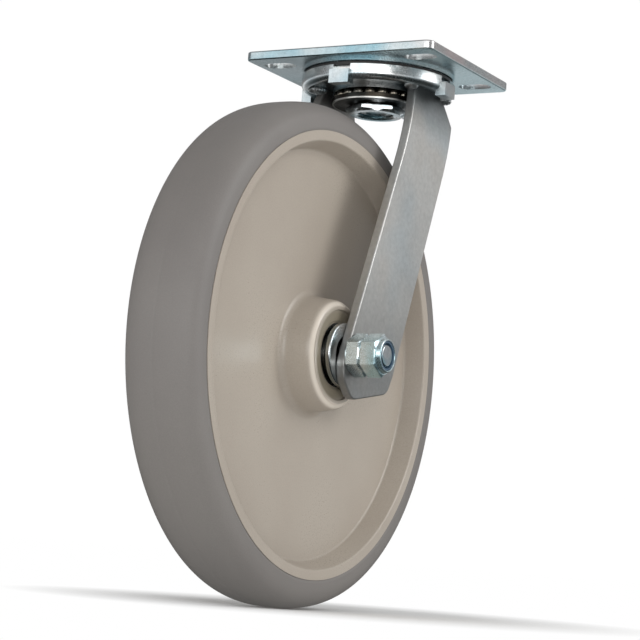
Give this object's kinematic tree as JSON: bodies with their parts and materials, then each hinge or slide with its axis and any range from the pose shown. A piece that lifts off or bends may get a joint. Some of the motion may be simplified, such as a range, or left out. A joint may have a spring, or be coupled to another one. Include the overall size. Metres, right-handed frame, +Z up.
{
  "type": "swivel plate caster wheel",
  "caption": "Swivel plate caster with a large thin wheel: soft grey tyre on a moulded core, roller hub, two-leg fork, double ball race and slotted top plate.",
  "frame": {"origin": "centre of the top plate's upper face, on the swivel axis", "axes": "+Z up out of the plate, +X along the axle towards its nuts, the wheel trails towards -Y"},
  "size_m": [0.111, 0.254, 0.2921],
  "materials": {
    "plate_steel": "bright zinc plate",
    "fork_steel": "bright zinc plate, satin",
    "weld_steel": "plated weld",
    "race_steel": "hardened, oiled",
    "ball_steel": "polished",
    "fastener_steel": "blue zinc plate",
    "seal_rubber": "matte",
    "nylon": "dark nylon",
    "cage_steel": "plain",
    "brass_fitting": "zinc plate",
    "core_plastic": "satin moulded",
    "tyre_rubber": "soft grey rubber"
  },
  "bodies": {
    "plate": {"top_plate": "plate_steel", "king_pin": "race_steel", "lower_race_cone": "race_steel", "king_nut": "fork_steel"},
    "main_ball_ring": {"main_balls": "ball_steel"},
    "lower_ball_ring": {"lower_balls": "ball_steel"},
    "fork": {"yoke_base": "fork_steel", "leg_nut_side": "fork_steel", "leg_head_side": "fork_steel", "weld_nut_side": "weld_steel", "weld_head_side": "weld_steel", "raceway_seal": "seal_rubber", "grease_fitting": "brass_fitting", "axle_bolt": "fastener_steel", "axle_jam_nut": "fastener_steel", "axle_lock_nut": "fastener_steel", "lock_nut_insert": "nylon", "bearing_sleeve": "race_steel", "washer_nut_side": "fastener_steel", "washer_head_side": "fastener_steel"},
    "roller_ring": {"hub_rollers": "ball_steel", "roller_cage": "cage_steel"},
    "wheel": {"wheel_core": "core_plastic", "tyre": "tyre_rubber", "bearing_cup": "race_steel"}
  },
  "joints": [
    {"name": "swivel", "type": "hinge", "parent": "plate", "child": "fork", "pos_m": [0, 0, 0], "axis": [0, 0, 1], "continuous": true},
    {"name": "main_ball_orbit", "type": "hinge", "parent": "plate", "child": "main_ball_ring", "pos_m": [0, 0, 0], "axis": [0, 0, 1], "continuous": true},
    {"name": "lower_ball_orbit", "type": "hinge", "parent": "plate", "child": "lower_ball_ring", "pos_m": [0, 0, 0], "axis": [0, 0, 1], "continuous": true},
    {"name": "wheel_spin", "type": "hinge", "parent": "fork", "child": "wheel", "pos_m": [0, -0.06825, -0.1651], "axis": [1, 0, 0], "continuous": true},
    {"name": "roller_orbit", "type": "hinge", "parent": "fork", "child": "roller_ring", "pos_m": [0, -0.06825, -0.1651], "axis": [1, 0, 0], "continuous": true}
  ],
  "couplings": [
    {"joint": "main_ball_orbit", "follows": "swivel", "ratio": 0.5},
    {"joint": "lower_ball_orbit", "follows": "swivel", "ratio": 0.5},
    {"joint": "roller_orbit", "follows": "wheel_spin", "ratio": 0.6016}
  ]
}
